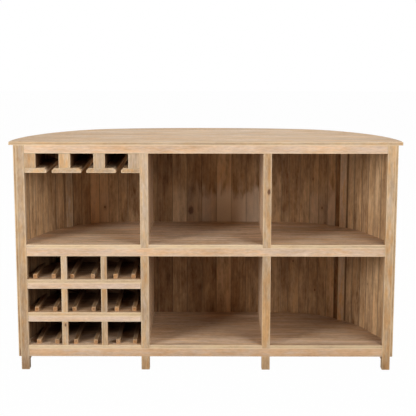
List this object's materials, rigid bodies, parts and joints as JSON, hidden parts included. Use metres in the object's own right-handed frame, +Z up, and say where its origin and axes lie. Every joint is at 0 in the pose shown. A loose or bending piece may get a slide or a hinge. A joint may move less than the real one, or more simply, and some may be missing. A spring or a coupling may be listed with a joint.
{
  "type": "bar counter with shelves",
  "caption": "Bow-backed wooden bar counter with open shelves, a bottle rack and stemware hangers on the server's side.",
  "frame": {"origin": "middle of the bounding box, on the floor under the feet", "axes": "+X along the counter to the server's right, +Y towards the bowed guest side, +Z up"},
  "size_m": [1.791, 0.655, 1.075],
  "materials": {
    "top_wood": "matt, lightly limed mango wood board with open grain and eased edges",
    "post_wood": "matt, upright grain, small knots, softened arrises",
    "rail_wood": "matt, lengthwise grain, lighter worn lower arris",
    "board_wood": "matt glued boards, lengthwise grain, faint glue lines",
    "plank_wood": "matt upright boards, each its own tone, fine dark joints",
    "rack_wood": "matt battens, lengthwise grain"
  },
  "bodies": {
    "root": {"back_planks": "plank_wood", "bottle_rail_lower": "rail_wood", "bottle_rail_upper": "rail_wood", "bottle_rests_bottom_left": "rack_wood", "bottle_rests_bottom_middle": "rack_wood", "bottle_rests_bottom_right": "rack_wood", "bottle_rests_middle_left": "rack_wood", "bottle_rests_middle_middle": "rack_wood", "bottle_rests_middle_right": "rack_wood", "bottle_rests_top_left": "rack_wood", "bottle_rests_top_middle": "rack_wood", "bottle_rests_top_right": "rack_wood", "bottle_shelf_lower": "board_wood", "bottle_shelf_upper": "board_wood", "bottle_stop_bottom": "rack_wood", "bottle_stop_middle": "rack_wood", "bottle_stop_top": "rack_wood", "bottle_upright_bottom_left": "rack_wood", "bottle_upright_bottom_right": "rack_wood", "bottle_upright_middle_left": "rack_wood", "bottle_upright_middle_right": "rack_wood", "bottle_upright_top_left": "rack_wood", "bottle_upright_top_right": "rack_wood", "bottom_rail": "rail_wood", "bottom_shelf_left": "board_wood", "bottom_shelf_middle": "board_wood", "bottom_shelf_right": "board_wood", "divider_panel_left": "board_wood", "divider_panel_right": "board_wood", "edge_strip_left": "plank_wood", "edge_strip_right": "plank_wood", "end_post_left": "post_wood", "end_post_right": "post_wood", "foot_blocks": "rail_wood", "hanger_bearer": "rail_wood", "hanger_flange_1": "rack_wood", "hanger_flange_2": "rack_wood", "hanger_flange_3": "rack_wood", "hanger_flange_4": "rack_wood", "hanger_stem_1": "rack_wood", "hanger_stem_2": "rack_wood", "hanger_stem_3": "rack_wood", "hanger_stem_4": "rack_wood", "mid_post_left": "post_wood", "mid_post_right": "post_wood", "mid_shelf_left": "board_wood", "mid_shelf_middle": "board_wood", "mid_shelf_right": "board_wood", "middle_rail": "rail_wood", "rear_bearer": "rail_wood", "rear_post_left": "post_wood", "rear_post_right": "post_wood", "shoulder_planks_left": "plank_wood", "shoulder_planks_right": "plank_wood", "side_bearer_left": "rail_wood", "side_bearer_right": "rail_wood", "side_planks_left": "plank_wood", "side_planks_right": "plank_wood", "top_board": "top_wood", "top_rail": "rail_wood"}
  },
  "joints": []
}
